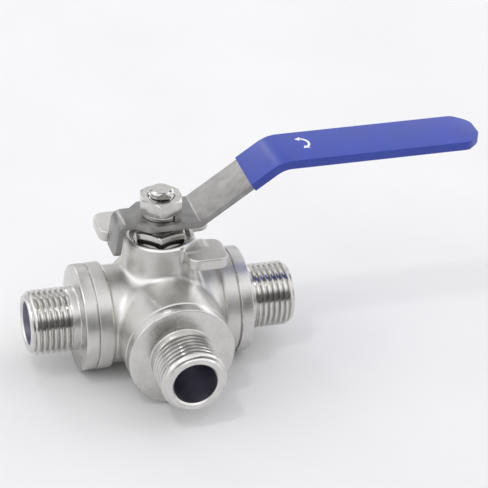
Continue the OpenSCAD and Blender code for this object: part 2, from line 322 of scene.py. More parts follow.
# %% Cast steel
def make_cast_steel():
    g = Graph("blasted casting")
    clouds = g.noise(9, detail=4)
    beads = g.noise(0.28, detail=2)
    g.colours(clouds, (0.60, 0.59, 0.565), (0.72, 0.71, 0.685))
    g.rough(g.span(clouds, 0.36, 0.46))
    skin = g.bump(g.noise(2.2, detail=2), 0.04)
    return g.finish(g.bump(beads, 0.012, skin), Metallic=1.0)


cast_steel = make_cast_steel()
print("material:", cast_steel.name)

# %% [markdown]
# ### Turned steel
#
# A lathe tool leaves hair-fine grooves round the axis. They pull a lamp's reflection out into a
# bright line that runs from the centre to the rim. The shader does this with anisotropy about
# the same axis, and a faint ring relief breaks the line up as real tool marks do.

# %% Turned steel, one for each axis
def make_turned(axis):
    g = Graph(f"turned steel about {axis}")
    clouds = g.noise(5, detail=3)
    g.colours(clouds, (0.60, 0.59, 0.57), (0.72, 0.71, 0.69))
    g.rough(g.span(clouds, 0.24, 0.32))
    tangent = g.add("ShaderNodeTangent", direction_type="RADIAL", axis=axis)
    g.link(tangent.outputs["Tangent"], g.shader.inputs["Tangent"])
    relief = g.bump(g.rings(axis, 0.45), 0.0025)
    return g.finish(g.bump(g.noise(0.35, 2), 0.0012, relief), Metallic=1.0, Anisotropic=0.75)


turned_x = make_turned("X")
turned_y = make_turned("Y")
turned_z = make_turned("Z")
print("materials:", turned_x.name, turned_y.name, turned_z.name)

# %% [markdown]
# ### Threads, nuts and polished steel
#
# Threads and nuts come bright off the tool, with soft scratches across them. The ball is
# polished so that the seats can seal on it. A bore is the same steel with a bluish tint painted
# into its colour, a painted shade that stands in for the dim blue look inside a port.

# %% Bright and polished steel, and the bore's painted shade
def make_bright(name, low, high, rough_low, rough_high, grain=0.6, height=0.006):
    g = Graph(name)
    mottle = g.noise(3.5, detail=4)
    scratches = g.noise(grain, detail=3, stretch=(1, 1, 3))
    g.colours(mottle, low, high)
    g.rough(g.span(mottle, rough_low, rough_high))
    return g.finish(g.bump(scratches, height), Metallic=1.0)


thread_steel = make_bright("thread steel", (0.60, 0.59, 0.57), (0.72, 0.71, 0.69), 0.16, 0.22, 0.5, 0.001)
nut_steel = make_bright("nut steel", (0.48, 0.47, 0.45), (0.66, 0.65, 0.63), 0.16, 0.24, 0.8, 0.003)
plate_steel = make_bright("tumbled plate", (0.25, 0.245, 0.24), (0.36, 0.355, 0.345), 0.32, 0.42, 0.4, 0.012)
spring_steel = make_bright("spring steel", (0.50, 0.49, 0.48), (0.62, 0.61, 0.59), 0.25, 0.35)
ball_steel = make_bright("polished ball", (0.62, 0.62, 0.63), (0.72, 0.72, 0.73), 0.06, 0.1, 1.5, 0.0008)
# The bore's bluish tint is painted shade, standing in for the dim look deep inside a port.
bore_painted_shade = make_bright("bore with painted shade", (0.60, 0.58, 0.68), (0.70, 0.68, 0.78), 0.3, 0.42)
steels = (thread_steel, nut_steel, plate_steel, spring_steel, ball_steel, bore_painted_shade)
print("materials:", [steel.name for steel in steels])


# %% [markdown]
# ### Vinyl, print and PTFE
#
# The grip is dipped in liquid vinyl, which sets with a soft gloss and a slight orange peel. The
# mark on it is printed in thick white ink. Seats and packing are PTFE, a waxy white.

# %% Plastics
def make_plastic(name, low, high, rough_low, rough_high, cloud, grain, height, **sockets):
    g = Graph(name)
    clouds = g.noise(cloud, detail=3)
    g.colours(clouds, low, high)
    g.rough(g.span(clouds, rough_low, rough_high))
    return g.finish(g.bump(g.noise(grain, detail=2), height), **sockets)


vinyl = make_plastic("dipped vinyl", (0.018, 0.046, 0.34), (0.026, 0.057, 0.40), 0.36, 0.44, 8, 1.2, 0.02,
                     Coat_Weight=0.08, Coat_Roughness=0.25)
ink = make_plastic("white ink", (0.74, 0.75, 0.80), (0.84, 0.85, 0.88), 0.45, 0.55, 2, 0.3, 0.01)
ptfe = make_plastic("waxy ptfe", (0.76, 0.75, 0.71), (0.85, 0.84, 0.80), 0.35, 0.45, 4, 0.5, 0.008,
                    Subsurface_Weight=0.1)
print("materials:", vinyl.name, ink.name, ptfe.name)

# %% [markdown]
# ## Dressing a piece
#
# Each finished piece says which body it rides on and which frame part it stands for, and gets
# its materials. One function keeps the three together.

# %% Ride, replace and slot in one call
def dress(piece, body, slot, *materials, stands_for=()):
    piece.data.materials.clear()
    for material in materials:
        piece.data.materials.append(material)
    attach(piece, body)
    if stands_for:
        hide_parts(*stands_for)
    return piece


def paint_faces(piece, number, test):
    """Gives material number to the faces whose centre passes the test."""
    count = 0
    for face in piece.data.polygons:
        if test(face.center / MM):
            face.material_index = number
            count += 1
    print(f"{piece.name}: material {number} on {count} faces")


# %% [markdown]
# ## The casting
#
# Three barrels and a neck flow into one another with wide, soft fillets, because sharp inside
# corners tear a casting as it cools. Straight boolean unions would leave those corners sharp.
# So the shapes are first joined and remeshed into one even skin, and then each point of the skin
# is drawn onto a blended surface, where every pair of shapes meets through a fillet of its own
# size. The machine shop comes after that: bores and faces are cut with turned cutters.

# %% Rough shapes of the casting, joined and remeshed
CASTING_GRID = 0.42
barrel_r = 15.75
rear_r = 14.0
neck_r = 10.9
ring_start = ring_face - 4.87
trim = 1.6
overrun = 5
ear_in = 5.3
ear_x, ear_y = 18.0, 18.2
ear_top = neck_top - 0.6
ear_bottom = ear_top - 3.75
gusset_x, gusset_y = ear_x - 7.5, ear_y - 7.5
gusset_foot = 10
web_reach = 1.6
EARS = ((1, 1), (-1, 1), (1, -1))


def rough_rod(radius, low, high, axis):
    """A cylinder from low to high along an axis."""
    turn = {X: (0, math.pi / 2, 0), Y: (math.pi / 2, 0, 0), Z: (0, 0, 0)}[axis]
    centre = [0, 0, 0]
    centre[axis] = (low + high) / 2 * MM
    bpy.ops.mesh.primitive_cylinder_add(vertices=96, radius=radius * MM, depth=(high - low) * MM,
                                        location=centre, rotation=turn)
    return bpy.context.object


def rough_block(low, high):
    """A block between two corners."""
    bpy.ops.mesh.primitive_cube_add(size=MM, location=[(a + b) / 2 * MM for a, b in zip(low, high)])
    block = bpy.context.object
    block.scale = [b - a for a, b in zip(low, high)]
    return block


lumps = [
    rough_rod(barrel_r, -ring_face - trim, ring_face + trim, X),
    rough_rod(ring_r, ring_start, ring_face + trim, X),
    rough_rod(ring_r, -ring_face - trim, -ring_start, X),
    rough_rod(ring_r, -branch_face - trim, 0, Y),
    rough_rod(rear_r, 0, rear_end, Y),
    rough_rod(neck_r, 0, neck_top + trim, Z),
]
for sx, sy in EARS:
    for far_x, far_y, bottom, top in ((ear_x, ear_y, ear_bottom, ear_top),
                                      (gusset_x, gusset_y, gusset_foot, ear_bottom + 1)):
        xs, ys = sorted((sx * ear_in, sx * far_x)), sorted((sy * ear_in, sy * far_y))
        lumps.append(rough_block((xs[0], ys[0], bottom), (xs[1], ys[1], top)))
join(*lumps)
casting = named("valve_casting")
bpy.ops.object.transform_apply()
finish_with(casting, "REMESH", mode="VOXEL", voxel_size=CASTING_GRID * MM)
finish_with(casting, "SMOOTH", factor=0.5, iterations=6)
print(f"casting skin: {len(casting.data.polygons)} faces")


# %% [markdown]
# The blended surface is a function that says how far a point is from the metal. Two shapes are
# merged with a soft minimum: where both are near, the surface lifts away from the corner between
# them. The width of that zone is the fillet.

# %% The blended surface
BARREL_FILLET, REAR_FILLET, NECK_FILLET, RING_FILLET, EAR_FILLET = 2.8, 1.0, 3.2, 1.2, 2.2
GUSSET_FILLET, WEB_CORNER_FILLET, WEB_FILLET = 1.6, 1.0, 1.2


def soft_min(a, b, width):
    """The nearer of two distances, with a fillet of about the given width between them."""
    near = np.maximum(width - np.abs(a - b), 0) / width
    return np.minimum(a, b) - near * near * width / 4


def rounded(outward, lengthwise, edge):
    """Distance to a solid from its distances across and along, its rim rounded by edge."""
    w = np.stack([outward + edge, lengthwise + edge])
    return np.minimum(w.max(0), 0) + np.hypot(*np.maximum(w, 0)) - edge


def rod(p, axis, radius, low, high, edge):
    across = np.delete(p, axis, 1)
    return rounded(np.hypot(across[:, 0], across[:, 1]) - radius,
                   np.abs(p[:, axis] - (low + high) / 2) - (high - low) / 2, edge)


def pad(p, low, high, bottom, top, corner, edge):
    """A flat pad with round corners between two corners of its plan."""
    low, high = np.array(low), np.array(high)
    q = np.abs(p[:, :2] - (low + high) / 2) - (high - low) / 2 + corner
    plan = np.minimum(q.max(1), 0) + np.hypot(*np.maximum(q, 0).T) - corner
    return rounded(plan, np.abs(p[:, 2] - (bottom + top) / 2) - (top - bottom) / 2, edge)


def ear_distance(p, sx, sy):
    """One stop ear in its own quarter: the pad, the web to the neck and the gusset below."""
    q = p * np.array([sx, sy, 1])
    ear = pad(q, (ear_in, ear_in), (ear_x, ear_y), ear_bottom, ear_top, 3.4, 0.5)
    web = pad(q, (ear_in, -2), (neck_r + web_reach, neck_r), ear_bottom, ear_top, 1.5, 0.7)
    side = pad(q, (-2, ear_in), (neck_r, neck_r + web_reach), ear_bottom, ear_top, 1.5, 0.7)
    gusset = pad(q, (ear_in, ear_in), (gusset_x, gusset_y), gusset_foot, ear_bottom + 1, 2, 0.5)
    web, side = (np.maximum(part, -q[:, axis] + ear_in) for part, axis in ((web, Y), (side, X)))
    return soft_min(soft_min(ear, gusset, GUSSET_FILLET), soft_min(web, side, WEB_CORNER_FILLET), WEB_FILLET)


def casting_distance(p):
    """The whole casting. Open ends run past their faces and are cut back later."""
    far_x, far_y = ring_face + overrun, branch_face + overrun
    branch, rear = rod(p, Y, ring_r, -far_y, 0, 0.5), rod(p, Y, rear_r, 0, rear_end, 3.0)
    metal = soft_min(rod(p, X, barrel_r, -far_x, far_x, 0.5), soft_min(branch, rear, REAR_FILLET),
                     BARREL_FILLET)
    metal = soft_min(metal, rod(p, Z, neck_r, 0, neck_top + overrun, 0.5), NECK_FILLET)
    for low, high in ((ring_start, far_x), (-far_x, -ring_start)):
        metal = soft_min(metal, rod(p, X, ring_r, low, high, 0.6), RING_FILLET)
    for sx, sy in EARS:
        metal = soft_min(metal, ear_distance(p, sx, sy), EAR_FILLET)
    return metal


def draw_onto(piece, distance, rounds, limit=None):
    """Moves each vertex along the slope of the distance until it lies on the surface."""
    p = np.zeros(len(piece.data.vertices) * 3)
    piece.data.vertices.foreach_get("co", p)
    p = p.reshape(-1, 3) / MM
    step = 0.02
    for _ in range(rounds):
        d = distance(p)
        slope = np.stack([(distance(p + step * e) - distance(p - step * e)) / (2 * step)
                          for e in np.eye(3)], 1)
        steep = np.maximum((slope * slope).sum(1), 0.25)
        p = p - (np.clip(d, -0.6, 0.6) / steep)[:, None] * slope
    inside = np.ones(len(p), bool)
    for axis, (low, high) in (limit or {}).items():
        inside &= (p[:, axis] > low) & (p[:, axis] < high)
        p[:, axis] = np.clip(p[:, axis], low, high)
    piece.data.vertices.foreach_set("co", (p * MM).ravel())
    piece.data.update()
    return np.abs(distance(p[inside])).max()


draw_onto(casting, casting_distance, 4)
finish_with(casting, "SMOOTH", factor=0.5, iterations=2)
ends = {X: (-ring_face - trim, ring_face + trim), Y: (-branch_face - trim, rear_end),
        Z: (-ring_r, neck_top + trim)}
left_over = draw_onto(casting, casting_distance, 5, ends)
print(f"casting skin drawn onto its surface, largest miss {left_over:.3f} mm")

# %% [markdown]
# Now the machining. Each cutter is a turned solid: its outline holds the bore, the thread
# seat and the flat face in one go, and a small chamfer where the face meets the rim.

# %% Bore, face and chamfer the casting
FIT = 0.05
cavity_r = ball_r + 0.4
thread_seat_r = cavity_r + 1.3
stem_r = 5.0
LEAD_IN = 0.4
recess_r = 9.6
recess_floor = gland_top - 1.2
FAR = 40.0
CLEARANCE = 9
CHAMFER = 0.35


def port_outline(face):
    """From the middle of the cavity outwards: the cavity, the seat of a cap, the face and its rim."""
    clear = face - CHAMFER - 1
    return [(cavity_r, gasket_start), (thread_seat_r, gasket_start), (thread_seat_r, face - LEAD_IN),
            (thread_seat_r + LEAD_IN, face), (ring_r - CHAMFER, face), (ring_r + 1, clear), (FAR, clear),
            (FAR, face + CLEARANCE), (0, face + CLEARANCE)]


def mirrored(points):
    return [(radius, -distance) for radius, distance in reversed(points)]


run = port_outline(ring_face)
combine(casting, turned("run cutter", mirrored(run) + run, RUN))
branch = [(0, -seat_back), (cavity_r, -seat_back)] + port_outline(branch_face)
combine(casting, turned("branch cutter", branch, BRANCH))
print("faced and bored the ports")
combine(casting, turned("neck cutter", [
    (0, 8), (foot_r + 0.35, 8), (foot_r + 0.35, web_z), (stem_r + FIT, web_z),
    (stem_r + FIT, packing_z), (packing_r, packing_z), (packing_r, recess_floor),
    (recess_r, recess_floor), (recess_r, neck_top - 0.25), (recess_r + 0.25, neck_top),
    (neck_r - 0.5, neck_top), (neck_r + 0.4, neck_top - 0.9), (neck_r + 0.4, neck_top + CLEARANCE),
    (0, neck_top + CLEARANCE)]))
settle(casting, 32)

# %% [markdown]
# The cast skin keeps its blasted finish. Only the neck's bore and rim show where the tool went.

# %% Finish of the casting
dress(casting, "valve_body", "cast_steel", cast_steel, turned_z, stands_for=["body"])


def machined(place):
    """The neck's bore and rim, which a cutter has been over."""
    across = math.hypot(place.x, place.y)
    in_neck = place.z > packing_z - 5 and across < neck_r - 0.2
    on_rim = place.z > neck_top - 0.6 and across < neck_r + 0.2
    return in_neck or on_rim


paint_faces(casting, 1, machined)

# %% [markdown]
# ## The end caps and their pipe threads
#
# Half-inch pipe thread has 14 turns to the inch. One tooth is drawn, repeated along the axis by
# an Array modifier and wound round it by a Screw modifier, so each crest is one unbroken
# line of edges. The winding is then cut to the blank: every point keeps inside the blank's
# outline, which rounds the lead at the tip and lets the grooves run out at the shank.

# %% Wind a thread and cut it to its blank
PITCH = 25.4 / 14
THREAD_R = 10.478
THREAD_DEPTH = 1.16
SNAP = 0.03


def wound_thread(name, axis, low, high, pitch, crest, depth, fade, blank, steps=128):
    """A helical thread between two places on an axis, its ends plain rings.

    fade gives the least radius at a place and blank the greatest. A point within SNAP of an end
    joins its ring, so that no sliver is left there.
    """
    root = crest - depth
    tooth = [(root, 0), (root, 0.05), (root + depth * 0.5, 0.19), (crest, 0.34), (crest, 0.5),
             (crest, 0.66), (root + depth * 0.5, 0.81), (root, 0.95), (root, 1)]
    start = low - 2 * pitch
    count = math.ceil((high - low) / pitch) + 4
    letter = "XYZ"[max(range(3), key=lambda i: abs(axis[i]))]
    piece = draw_line(name, [(r, start + t * pitch) for r, t in tooth], axis)
    finish_with(piece, "ARRAY", count=count, use_relative_offset=False, use_constant_offset=True,
                constant_offset_displace=Vector(axis) * pitch * MM, use_merge_vertices=True,
                merge_threshold=MM / 1000)
    finish_with(piece, "SCREW", axis=letter, screw_offset=pitch * MM, steps=steps, render_steps=steps,
                use_smooth_shade=False, use_normal_calculate=False)
    along = Vector(axis)
    for vertex in piece.data.vertices:
        place = vertex.co.dot(along) / MM
        side = vertex.co - along * vertex.co.dot(along)
        radius = side.length / MM
        kept = low if place < low + SNAP else high if place > high - SNAP else place
        radius_kept = min(max(radius, fade(kept)), blank(kept))
        vertex.co = along * kept * MM + side.normalized() * radius_kept * MM
    only(piece)
    edit_all()
    bpy.ops.mesh.remove_doubles(threshold=MM / 500)
    bpy.ops.mesh.dissolve_degenerate(threshold=MM / 1000)
    bpy.ops.object.mode_set(mode="OBJECT")
    return piece


def ramp(place, start, end, first, last):
    """A value that goes from first to last between two places and stays level outside them."""
    share = min(max((place - start) / (end - start), 0), 1)
    return first + (last - first) * share


# %% [markdown]
# A cap is one turned piece: nose with the seat pocket, screwed length, flange with a narrow
# groove behind it, shank, thread and bore. The outline is spun, the thread is joined on, and
# the shared rings are merged, so the cap is one closed solid.

# %% Build the three caps
PORT_R = 7.0
FLANGE_T = 4.33
SHANK_R = THREAD_R - 0.35
ROOT_R = THREAD_R - THREAD_DEPTH
LEAD = 1.8
TIP_EDGE = 0.3
PLAIN_LENGTH = 3.0
RUN_IN = 0.35
FLANGE_ROUND = 0.45
SHANK_FILLET = 0.5


def end_cap(name, axis, face, tip):
    outer = face + FLANGE_T
    low, high = outer + PLAIN_LENGTH - RUN_IN, tip - TIP_EDGE
    thread = wound_thread(
        name + " thread", axis, low, high, PITCH, THREAD_R, THREAD_DEPTH,
        fade=lambda x: ramp(x, low, low + 1.6, SHANK_R, ROOT_R),
        blank=lambda x: min(ramp(x, low, low + RUN_IN, SHANK_R, THREAD_R),
                            ramp(x, tip - LEAD, high, THREAD_R, ROOT_R)))
    outline = ([(ROOT_R, high), (ROOT_R - TIP_EDGE, tip), (PORT_R + 0.5, tip), (PORT_R, tip - 0.5),
                (PORT_R, seat_back), (seat_r + FIT, seat_back), (seat_r + FIT, cap_start),
                (cavity_r - 0.1, cap_start), (cavity_r - 0.1, gasket_end),
                (thread_seat_r - FIT, gasket_end), (thread_seat_r - FIT, face),
                (ring_r - 0.8, face), (ring_r - 0.8, face + 0.3), (ring_r - 0.2, face + 0.3),
                (ring_r, face + 0.5)]
               + arc((ring_r - FLANGE_ROUND, outer - FLANGE_ROUND), FLANGE_ROUND, 0, 90, 4)
               + arc((SHANK_R + SHANK_FILLET, outer + SHANK_FILLET), SHANK_FILLET, 270, 180, 4)
               + [(SHANK_R, low)])
    cap = turned(name, outline, axis)
    join(cap, thread)
    settle(cap, 28)

    def place(point):
        along = point.dot(Vector(axis))
        return along, (point - Vector(axis) * along).length

    dress(cap, "valve_body", "turned_steel", turned_y if axis == BRANCH else turned_x, thread_steel,
          bore_painted_shade, stands_for=[name.replace("threaded", "end")])
    paint_faces(cap, 1, lambda c: place(c)[0] > low - 0.1 and place(c)[1] > ROOT_R - 0.4)
    # The bore's faces take the bore material, whose bluish tint is painted shade.
    paint_faces(cap, 2, lambda c: place(c)[1] < PORT_R + 0.1)
    return cap


end_cap("left_threaded_cap", (-1, 0, 0), ring_face, run_tip)
end_cap("right_threaded_cap", RUN, ring_face, run_tip)
end_cap("front_threaded_cap", BRANCH, branch_face, branch_tip)

# %% [markdown]
# ## Nuts
#
# A nut is a hexagon bar, chamfered on the lathe at both ends, drilled and tapped. The chamfer is
# a cone that meets flat sides, and it is what draws the curved line over each flat. So a
# six-sided prism is kept only where it lies inside a turned barrel, then bored.

# %% Make a nut
BORE_LEAD = 0.5
STUD_HOLE_R = 4.05


def hex_nut(name, across_flats, low, high, bore_r, turn):
    corner = across_flats / math.sqrt(3)
    bpy.ops.mesh.primitive_cylinder_add(vertices=6, radius=corner * MM, depth=(high - low) * MM,
                                        location=(0, 0, (low + high) / 2 * MM),
                                        rotation=(0, 0, math.radians(turn - 30)))
    nut = named(name)
    bpy.ops.object.transform_apply()
    face_r = across_flats / 2 - 0.1
    drop = (corner - face_r) * math.tan(math.radians(30))
    barrel = [(0, low), (face_r, low), (corner + 0.1, low + drop), (corner + 0.1, high - drop),
              (face_r, high), (0, high)]
    combine(nut, turned("barrel", barrel, steps=96), "INTERSECT")
    wide_r = bore_r + BORE_LEAD
    bore = [(0, low - 1), (wide_r, low - 1), (wide_r, low), (bore_r, low + BORE_LEAD),
            (bore_r, high - BORE_LEAD), (wide_r, high), (wide_r, high + 1), (0, high + 1)]
    combine(nut, turned("bore", bore, steps=96))
    soften(nut, 0.14, 2, 24)
    return settle(nut, 25)


dress(hex_nut("gland_nut", 15.0, nut_low, nut_high, stem_r + FIT, 18),
      "lever_and_stem", "bright_steel", nut_steel, stands_for=["packing_nut"])
dress(hex_nut("top_nut", 13.0, top_nut_low, top_nut_high, STUD_HOLE_R, 16),
      "lever_and_stem", "bright_steel", nut_steel, stands_for=["lever_nut"])

# %% [markdown]
# ## Split spring washer
#
# A square wire wound not quite once round, with a slight rise, gives the washer its slanted gap.
# The Screw modifier winds the square, and the two open ends are closed with faces.

# %% Wind the washer
WIRE_EDGE = 0.12
GAP_WIDTH, GAP_TURN = 7, 60


def spring_washer(name, inner, outer, low, high, rise=0.25):
    bpy.ops.mesh.primitive_plane_add(size=1)
    wire = named(name)
    edit_all()
    bpy.ops.transform.resize(value=((outer - inner) * MM, (high - low - rise) * MM, 1))
    bpy.ops.mesh.bevel(offset=WIRE_EDGE * MM, segments=2, affect="VERTICES")
    bpy.ops.mesh.delete(type="ONLY_FACE")
    bpy.ops.mesh.select_all(action="SELECT")
    bpy.ops.transform.rotate(value=-math.pi / 2, orient_axis="X", center_override=(0, 0, 0))
    bpy.ops.transform.translate(value=((inner + outer) / 2 * MM, 0, (low + (high - low - rise) / 2) * MM))
    bpy.ops.object.mode_set(mode="OBJECT")
    finish_with(wire, "SCREW", axis="Z", angle=math.radians(360 - GAP_WIDTH), screw_offset=rise * MM,
                steps=90, render_steps=90)
    only(wire)
    edit_all()
    bpy.ops.mesh.fill_holes(sides=0)
    bpy.ops.mesh.select_all(action="SELECT")
    bpy.ops.transform.rotate(value=math.radians(GAP_TURN), orient_axis="Z", center_override=(0, 0, 0))
    bpy.ops.object.mode_set(mode="OBJECT")
    return settle(wire, 40)


dress(spring_washer("spring_washer", washer_r - 2.3, washer_r, washer_low, washer_high),
      "lever_and_stem", "bright_steel", nut_steel, stands_for=["lock_washer"])

# %% [markdown]
# ## The stem
#
# The stem is turned, and its top carries a fine M8 thread for the nut. Two flats are milled on
# the threaded top, and the lever's hole grips them. The tang at the bottom drops into the ball's
# slot. The thread comes first, then the flats cut through it.

# %% Turn, thread and mill the stem
STEM_PITCH = 1.25
STEM_THREAD_R = 4.0
STEM_DEPTH = 0.65
STEM_EDGE = 0.5
TANG_W = 5.8
FLATS = 6.6
PLATE_T = 2.0
lever_z = washer_low - PLATE_T


def make_stem():
    low, high = lever_z + 0.2, stem_top - STEM_EDGE
    root = STEM_THREAD_R - STEM_DEPTH
    thread = wound_thread(
        "stem thread", STEM, low, high, STEM_PITCH, STEM_THREAD_R, STEM_DEPTH,
        fade=lambda z: ramp(z, low, low + 0.6, STEM_THREAD_R, root),
        blank=lambda z: ramp(z, high - 0.7, high, STEM_THREAD_R, root), steps=96)
    top = [(root, high), (root - STEM_EDGE * 0.6, stem_top), (0, stem_top)]
    foot_top = foot_low + FOOT_T
    shaft = [(STEM_THREAD_R, low), (STEM_THREAD_R, lever_z), (stem_r - 0.2, lever_z), (stem_r, lever_z - 0.2),
             (stem_r, foot_top), (foot_r - 0.2, foot_top), (foot_r, foot_top - 0.2),
             (foot_r, foot_low + 0.2), (foot_r - 0.2, foot_low), (0, foot_low)]
    stem, cap = turned("stem_spindle", shaft, steps=96), turned("stem end", top, steps=96)
    join(stem, thread, cap)
    settle(stem)
    for side in (-1, 1):
        near, far = sorted((side * FLATS / 2, side * CLEARANCE))
        combine(stem, rough_block((-CLEARANCE, near, lever_z + 0.1), (CLEARANCE, far, stem_top + 2)))
    bpy.ops.mesh.primitive_cube_add(size=MM, location=(0, 0, (stem_low + foot_low + 0.5) / 2 * MM))
    tang = bpy.context.object
    tang.scale = (2 * foot_r - 0.6, TANG_W, foot_low + 0.5 - stem_low)
    bpy.ops.object.transform_apply()
    soften(tang, 0.3, 2)
    combine(stem, tang, "UNION")
    return settle(stem, 28)


dress(make_stem(), "lever_and_stem", "bright_steel", nut_steel, stands_for=["stem"])

# %% [markdown]
# ## The ball
#
# A polished sphere with a straight bore for the run, a branch bore that meets it, and a slot for
# the tang. The bores' rims are broken with a cone so they don't shave the seats.

# %% Bore the ball
BALL_BORE_R = 6.0


def make_ball():
    bpy.ops.mesh.primitive_uv_sphere_add(segments=128, ring_count=64, radius=ball_r * MM)
    ball = named("polished_ball")
    rim = math.sqrt(ball_r ** 2 - BALL_BORE_R ** 2)
    cone_r = BALL_BORE_R + 0.9
    bore = [(0, -0.5), (BALL_BORE_R, -0.5), (BALL_BORE_R, rim - 0.3), (cone_r, rim + 0.6),
            (cone_r, ball_r + 1), (0, ball_r + 1)]
    for axis in (RUN, (-1, 0, 0), (0, 1, 0)):
        combine(ball, turned("bore", bore, axis, 96))
    slot_floor = stem_low - 0.3
    combine(ball, rough_block((-foot_r - 0.1, -TANG_W / 2 - 0.1, slot_floor),
                              (foot_r + 0.1, TANG_W / 2 + 0.1, ball_r + 2)))
    return settle(ball, 25)


dress(make_ball(), "ball", "polished_steel", ball_steel, stands_for=["ball"])

# %% [markdown]
# ## The lever
#
# The lever is stamped from flat strip and bent: a stop leg down at the back, a slope up, and a
# level grip. A strip is a line with a width, so it is drawn as a ribbon: one edge is extruded
# from station to station along the middle line and widened or narrowed at each. Solidify gives
# it its gauge, and a bevel gives it the rolled-over edges that tumbling leaves.

# %% Stations along the lever's middle line
PLATE_HALF = 8.5
LEG_HALF = 5.2
SLOPE = math.radians(35)
LEG_LEAN = math.radians(8)
base_mid = lever_z + PLATE_T / 2
LEG_X, LEG_DROP = 12.6, 11.9
leg_mid_x = LEG_X + PLATE_T / 2
leg_bottom = lever_z + PLATE_T - LEG_DROP
lever_tip = span("lever", X)[1]
grip_mid = span("lever", Z)[1] - PLATE_T / 2
slope_x = 10.8
slope_end_x = slope_x + (grip_mid - base_mid) / math.tan(SLOPE)


def bent_line(corners, radii, steps=8):
    """Points of a line through corners in the XZ plane, each inner corner rounded by an arc."""
    line = [Vector(corners[0])]
    for before, corner, after, radius in zip(corners, corners[1:], corners[2:], radii):
        corner = Vector(corner)
        back, ahead = (Vector(before) - corner).normalized(), (Vector(after) - corner).normalized()
        half = back.angle(ahead) / 2
        centre = corner + (back + ahead).normalized() * radius / math.sin(half)
        reach = radius / math.tan(half)
        first, last = corner + back * reach - centre, corner + ahead * reach - centre
        total = first.angle_signed(last)
        for i in range(steps + 1):
            a = -total * i / steps
            line.append(centre + Vector((first.x * math.cos(a) - first.y * math.sin(a),
                                         first.x * math.sin(a) + first.y * math.cos(a))))
    return line + [Vector(corners[-1])]


def with_points_at(line, places):
    """The same line with extra points where it crosses each place along X."""
    out = [line[0]]
    for a, b in zip(line, line[1:]):
        low, high = sorted((a.x, b.x))
        inside = [x for x in places if low + 0.02 < x < high - 0.02]
        for x in sorted(inside, reverse=b.x < a.x):
            out.append(a + (b - a) * (x - a.x) / (b.x - a.x))
        out.append(b)
    return out


def ribbon(name, stations, thickness):
    """A strip through stations of (x, z, half width)."""
    (x, z, half), rest = stations[0], stations[1:]
    bpy.ops.mesh.primitive_plane_add(size=2 * MM)
    strip = named(name)
    bpy.ops.object.mode_set(mode="EDIT")
    mesh = bmesh.from_edit_mesh(strip.data)
    for vertex in mesh.verts:
        vertex.select_set(vertex.co.x > 0)
    mesh.select_flush(False)
    bmesh.update_edit_mesh(strip.data)
    bpy.ops.mesh.delete(type="VERT")
    bpy.ops.mesh.select_all(action="SELECT")
    bpy.ops.transform.translate(value=((x + 1) * MM, 0, z * MM))
    bpy.ops.transform.resize(value=(1, half, 1), center_override=(x * MM, 0, z * MM))
    for x2, z2, half2 in rest:
        bpy.ops.mesh.extrude_region_move(TRANSFORM_OT_translate={"value": ((x2 - x) * MM, 0, (z2 - z) * MM)})
        bpy.ops.transform.resize(value=(1, half2 / half, 1), center_override=(x2 * MM, 0, z2 * MM))
        x, z, half = x2, z2, half2
    bpy.ops.object.mode_set(mode="OBJECT")
    finish_with(strip, "SOLIDIFY", thickness=thickness * MM, offset=0, use_even_offset=True)
    return strip


def round_end(distance, corner):
    """How much a strip narrows at a distance from its end, its corners rounded."""
    if distance >= corner:
        return 0
    return corner - math.sqrt(corner ** 2 - (corner - distance) ** 2)


# %% [markdown]
# The plan of the strip is a rule for its half width: narrow on the stop leg, widening over the
# shoulders behind the nut, full width from there, and tapered at the tip.

# %% Bend the plate and cut its hole
SHOULDER_X = 5.7
TIP_HALF = PLATE_HALF - 5.2
TIP_TAPER = 6.0
LEG_CORNER = 2.2
BEND_RADII = (2.2, 3.0, 10.0)
WELD = 0.035


def plate_half(x):
    """Half width of the plate at a place along X."""
    widening = ramp(-x, SHOULDER_X, SHOULDER_X + PLATE_HALF - LEG_HALF, PLATE_HALF, LEG_HALF)
    taper = ramp(lever_tip - x, 0, TIP_TAPER, TIP_HALF, PLATE_HALF)
    return min(widening, taper)


leg_top = (-leg_mid_x, base_mid)
leg_length = base_mid - leg_bottom
leg_end = (-leg_mid_x - math.tan(LEG_LEAN) * leg_length, leg_bottom)
middle = bent_line([leg_end, leg_top, (slope_x, base_mid), (slope_end_x, grip_mid), (lever_tip, grip_mid)],
                   BEND_RADII)
breaks = [-SHOULDER_X - PLATE_HALF + LEG_HALF, -SHOULDER_X, lever_tip - TIP_TAPER]
middle = with_points_at(middle, breaks)
corner_steps = [LEG_CORNER * (1 - math.cos(math.radians(a))) for a in range(0, 91, 18)]
leg_way = (Vector(leg_top) - Vector(leg_end)).normalized()
stations = [(*(Vector(leg_end) + leg_way * (s + 0.12)), LEG_HALF - round_end(s, LEG_CORNER))
            for s in corner_steps]
stations += [(p.x, p.y, plate_half(p.x)) for p in middle[1:]]
lever = ribbon("lever_plate", stations, PLATE_T)
soften(lever, 0.35, 3, 50)
hole_half = FLATS / 2 + FIT
hole = turned("hole", [(0, lever_z - 2), (STUD_HOLE_R, lever_z - 2), (STUD_HOLE_R, lever_z + 4),
                       (0, lever_z + 4)], steps=64)
combine(hole, rough_block((-6, -hole_half, lever_z - 3), (6, hole_half, lever_z + 5)), "INTERSECT")
combine(lever, hole)
finish_with(lever, "WELD", merge_threshold=WELD * MM)
settle(lever, 30)
dress(lever, "lever_and_stem", "lever_plate", plate_steel, stands_for=["lever"])

# %% [markdown]
# ## The vinyl sleeve
#
# Dipping leaves a skin of even thickness that follows the plate and rounds off at every edge.
# The sleeve is the same kind of ribbon, a little wider and thicker than the plate, with a large
# bevel, and it is hollowed by the plate itself.

